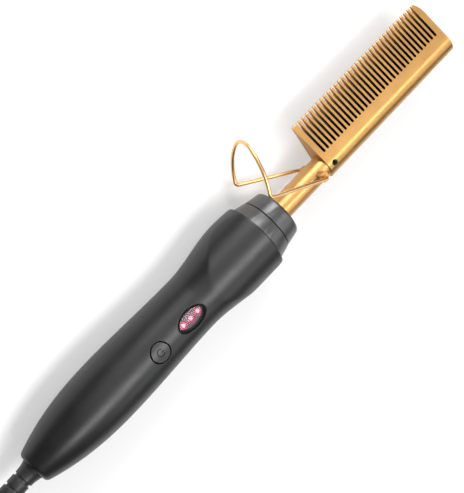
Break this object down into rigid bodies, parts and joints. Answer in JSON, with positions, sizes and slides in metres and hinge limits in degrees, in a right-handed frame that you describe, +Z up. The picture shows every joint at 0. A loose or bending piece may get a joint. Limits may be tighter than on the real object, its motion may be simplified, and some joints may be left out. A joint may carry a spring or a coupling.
{
  "type": "hot comb",
  "caption": "Electric hot comb with a moulded handle, push button, lit window, gold neck, slotted comb block, folding wire stand and coiled mains cord.",
  "frame": {"origin": "on the surface under the object, midway along and across it, without the cord", "axes": "+X along the handle towards the comb's far end, +Y the way the teeth point, +Z up, the way the button and lamps face"},
  "size_m": [0.4508, 0.08, 0.038],
  "materials": {
    "handle": "matt charcoal",
    "nose": "satin grey",
    "gold_metal": "polished gold",
    "gold_comb": "satin gold",
    "gold_wire": "polished gold",
    "steel": "plain",
    "dark_steel": "blackened",
    "ceramic": "fired ceramic",
    "copper": "bare copper",
    "board": "solder resist",
    "capacitor": "moulded",
    "dark_plastic": "moulded",
    "white_plastic": "moulded",
    "button": "satin charcoal",
    "lamp": "lit crimson",
    "lens": "smoked",
    "relief": "moulded",
    "wire_cover": "plain",
    "cord": "smooth",
    "plug_metal": "nickel and brass"
  },
  "bodies": {
    "handle": {"handle_front_shell": "handle", "handle_rear_shell": "handle", "nose_collar": "nose", "nose_cap": "nose", "neck_bush": "ceramic", "neck_tube": "gold_metal", "neck_flange": "steel", "neck_pins": "steel", "comb_head": "gold_comb", "head_set_screw": "dark_steel", "heater_rod": "ceramic", "heater_insulator": "ceramic", "heater_leads": "copper", "thermistor": "dark_plastic", "thermal_fuse": "steel", "circuit_board": "board", "triac": "dark_plastic", "film_capacitor": "capacitor", "control_chip": "dark_plastic", "tact_switch": "dark_plastic", "indicator_leds": "lamp", "led_holder": "dark_plastic", "window_bezel": "dark_plastic", "led_window": "lens", "shell_screws": "dark_steel", "board_screws": "steel", "mains_leads": "wire_cover", "cord_lead": "cord", "cord_coil": "cord", "cord_tail": "cord", "plug_body": "cord", "plug_blades": "plug_metal"},
    "stand": {"stand_wire": "gold_wire"},
    "button": {"power_button": "button", "switch_plunger": "white_plastic"},
    "relief": {"strain_relief": "relief"}
  },
  "joints": [
    {"name": "stand_fold", "type": "hinge", "parent": "handle", "child": "stand", "pos_m": [0.0668, -0.01119, 0.01805], "axis": [0, 0.1771, -0.9842], "range_deg": [-25, 65]},
    {"name": "button_press", "type": "slide", "parent": "handle", "child": "button", "axis": [0, 0, -1], "range_m": [0, 0.0005], "stiffness_N_per_m": 1200},
    {"name": "cord_swivel", "type": "hinge", "parent": "handle", "child": "relief", "pos_m": [-0.1206, -0.01119, 0.01805], "axis": [1, 0, 0], "continuous": true}
  ]
}
